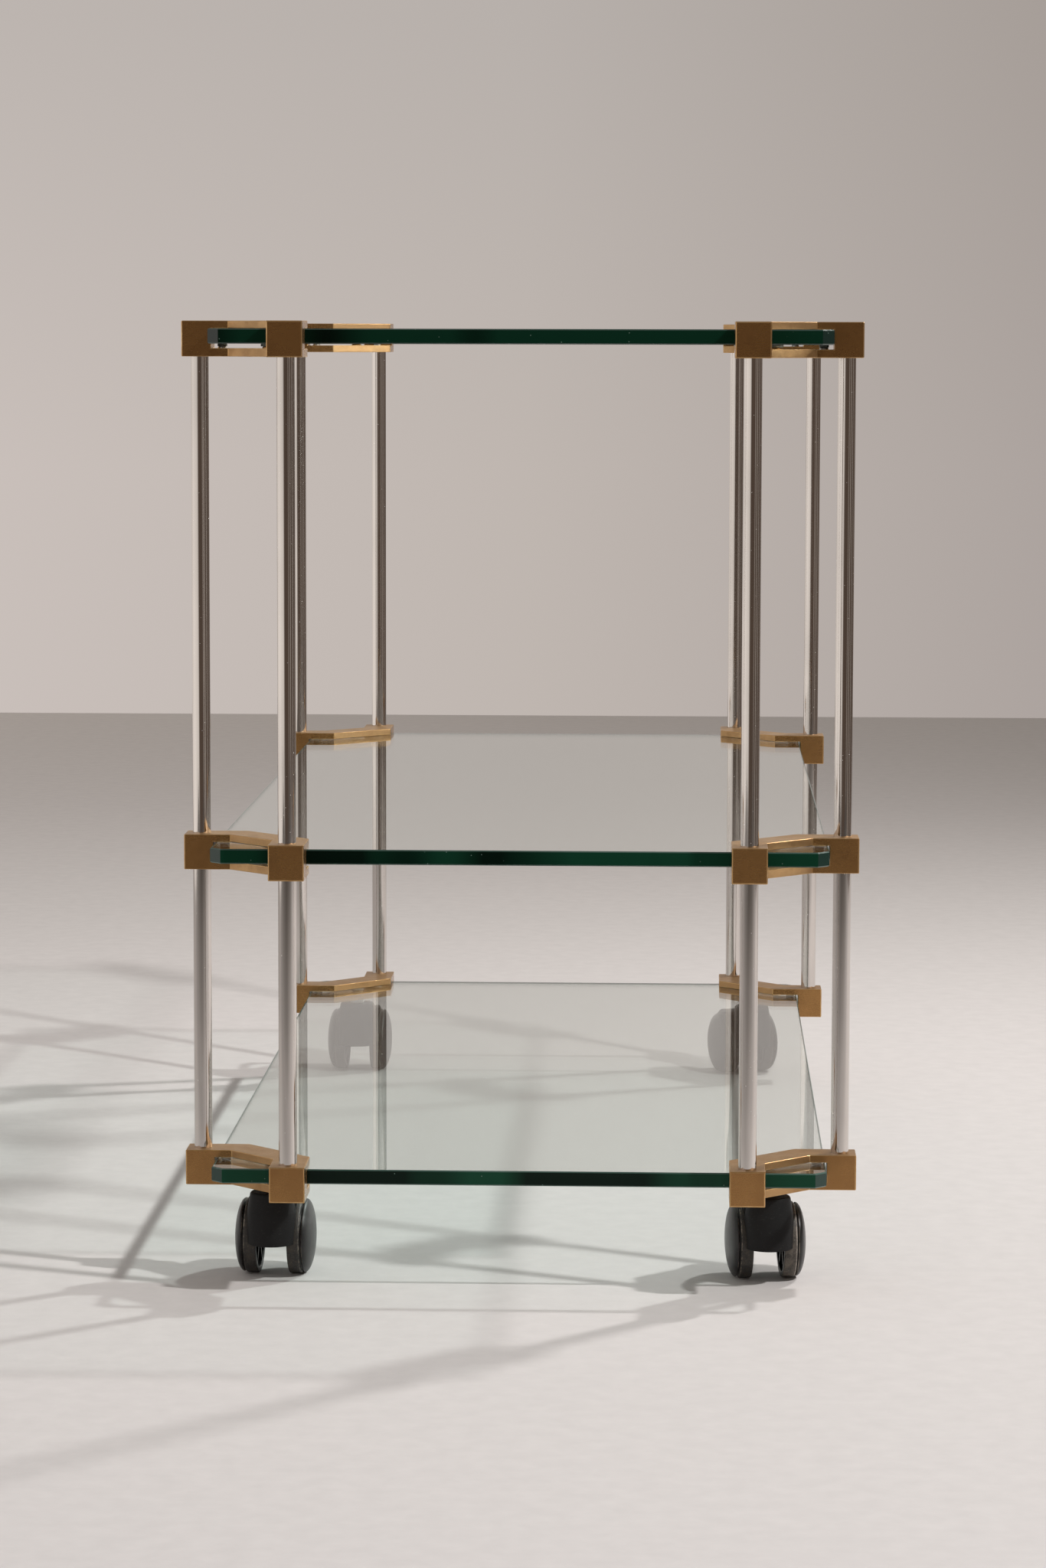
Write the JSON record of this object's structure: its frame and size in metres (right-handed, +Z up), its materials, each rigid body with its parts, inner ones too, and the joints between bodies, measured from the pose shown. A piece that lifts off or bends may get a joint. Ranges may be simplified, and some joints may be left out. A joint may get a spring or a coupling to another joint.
{
  "type": "dessert trolley",
  "caption": "Three-tier glass serving trolley with cast corner brackets, paired tubes and twin-wheel swivel castors.",
  "frame": {"origin": "on the floor, under the middle of the trolley's footprint", "axes": "+Z up, +Y along the long side, +X along the short side; the end at -Y is called the front"},
  "size_m": [0.448, 0.9, 0.638],
  "materials": {
    "shelf_glass": "clear float glass with a green tint and polished dark green edges",
    "cast_brass": "cast brass, filed and satin polished, mellowed to a warm brown",
    "polished_tube": "bright polished nickel plate",
    "zinc_steel": "bright zinc plated steel",
    "grey_pad": "matt grey nylon",
    "black_nylon": "moulded black nylon, softly glossy",
    "wheel_nylon": "moulded black nylon, semi-gloss domes and a dusty worn tread"
  },
  "bodies": {
    "root": {"glass_shelf_bottom": "shelf_glass", "glass_shelf_middle": "shelf_glass", "glass_shelf_top": "shelf_glass", "bracket_bottom_front_left": "cast_brass", "bracket_bottom_front_right": "cast_brass", "bracket_bottom_back_left": "cast_brass", "bracket_bottom_back_right": "cast_brass", "bracket_middle_front_left": "cast_brass", "bracket_middle_front_right": "cast_brass", "bracket_middle_back_left": "cast_brass", "bracket_middle_back_right": "cast_brass", "bracket_top_front_left": "cast_brass", "bracket_top_front_right": "cast_brass", "bracket_top_back_left": "cast_brass", "bracket_top_back_right": "cast_brass", "tube_lower_front_left_side": "polished_tube", "tube_lower_front_left_end": "polished_tube", "tube_lower_front_right_side": "polished_tube", "tube_lower_front_right_end": "polished_tube", "tube_lower_back_left_side": "polished_tube", "tube_lower_back_left_end": "polished_tube", "tube_lower_back_right_side": "polished_tube", "tube_lower_back_right_end": "polished_tube", "tube_upper_front_left_side": "polished_tube", "tube_upper_front_left_end": "polished_tube", "tube_upper_front_right_side": "polished_tube", "tube_upper_front_right_end": "polished_tube", "tube_upper_back_left_side": "polished_tube", "tube_upper_back_left_end": "polished_tube", "tube_upper_back_right_side": "polished_tube", "tube_upper_back_right_end": "polished_tube", "tie_rods": "zinc_steel", "tie_rod_nuts": "cast_brass", "edge_clamp_screws": "zinc_steel", "centre_clamp_screws": "cast_brass", "edge_pads": "grey_pad", "centre_pads": "grey_pad", "castor_front_left_stem": "zinc_steel", "castor_front_right_stem": "zinc_steel", "castor_back_left_stem": "zinc_steel", "castor_back_right_stem": "zinc_steel"},
    "castor_front_left": {"castor_front_left_housing": "black_nylon", "castor_front_left_axle": "zinc_steel"},
    "wheel_front_left_outer": {"wheel_front_left_outer": "wheel_nylon"},
    "wheel_front_left_inner": {"wheel_front_left_inner": "wheel_nylon"},
    "castor_front_right": {"castor_front_right_housing": "black_nylon", "castor_front_right_axle": "zinc_steel"},
    "wheel_front_right_outer": {"wheel_front_right_outer": "wheel_nylon"},
    "wheel_front_right_inner": {"wheel_front_right_inner": "wheel_nylon"},
    "castor_back_left": {"castor_back_left_housing": "black_nylon", "castor_back_left_axle": "zinc_steel"},
    "wheel_back_left_outer": {"wheel_back_left_outer": "wheel_nylon"},
    "wheel_back_left_inner": {"wheel_back_left_inner": "wheel_nylon"},
    "castor_back_right": {"castor_back_right_housing": "black_nylon", "castor_back_right_axle": "zinc_steel"},
    "wheel_back_right_outer": {"wheel_back_right_outer": "wheel_nylon"},
    "wheel_back_right_inner": {"wheel_back_right_inner": "wheel_nylon"}
  },
  "joints": [
    {"name": "castor_front_left_swivel", "type": "hinge", "parent": "root", "child": "castor_front_left", "pos_m": [-0.1662, -0.3922, 0.0475], "axis": [0, 0, 1], "continuous": true},
    {"name": "wheel_front_left_outer_spin", "type": "hinge", "parent": "castor_front_left", "child": "wheel_front_left_outer", "pos_m": [-0.1651, -0.37123, 0.0255], "axis": [0.9986, -0.0523, 0], "continuous": true},
    {"name": "wheel_front_left_inner_spin", "type": "hinge", "parent": "castor_front_left", "child": "wheel_front_left_inner", "pos_m": [-0.1651, -0.37123, 0.0255], "axis": [0.9986, -0.0523, 0], "continuous": true},
    {"name": "castor_front_right_swivel", "type": "hinge", "parent": "root", "child": "castor_front_right", "pos_m": [0.1662, -0.3922, 0.0475], "axis": [0, 0, 1], "continuous": true},
    {"name": "wheel_front_right_outer_spin", "type": "hinge", "parent": "castor_front_right", "child": "wheel_front_right_outer", "pos_m": [0.16401, -0.37132, 0.0255], "axis": [0.9945, 0.1045, 0], "continuous": true},
    {"name": "wheel_front_right_inner_spin", "type": "hinge", "parent": "castor_front_right", "child": "wheel_front_right_inner", "pos_m": [0.16401, -0.37132, 0.0255], "axis": [0.9945, 0.1045, 0], "continuous": true},
    {"name": "castor_back_left_swivel", "type": "hinge", "parent": "root", "child": "castor_back_left", "pos_m": [-0.1662, 0.3922, 0.0475], "axis": [0, 0, 1], "continuous": true},
    {"name": "wheel_back_left_outer_spin", "type": "hinge", "parent": "castor_back_left", "child": "wheel_back_left_outer", "pos_m": [-0.16547, 0.41319, 0.0255], "axis": [0.9994, -0.0349, 0], "continuous": true},
    {"name": "wheel_back_left_inner_spin", "type": "hinge", "parent": "castor_back_left", "child": "wheel_back_left_inner", "pos_m": [-0.16547, 0.41319, 0.0255], "axis": [0.9994, -0.0349, 0], "continuous": true},
    {"name": "castor_back_right_swivel", "type": "hinge", "parent": "root", "child": "castor_back_right", "pos_m": [0.1662, 0.3922, 0.0475], "axis": [0, 0, 1], "continuous": true},
    {"name": "wheel_back_right_outer_spin", "type": "hinge", "parent": "castor_back_right", "child": "wheel_back_right_outer", "pos_m": [0.15902, 0.41193, 0.0255], "axis": [0.9397, 0.342, 0], "continuous": true},
    {"name": "wheel_back_right_inner_spin", "type": "hinge", "parent": "castor_back_right", "child": "wheel_back_right_inner", "pos_m": [0.15902, 0.41193, 0.0255], "axis": [0.9397, 0.342, 0], "continuous": true}
  ]
}
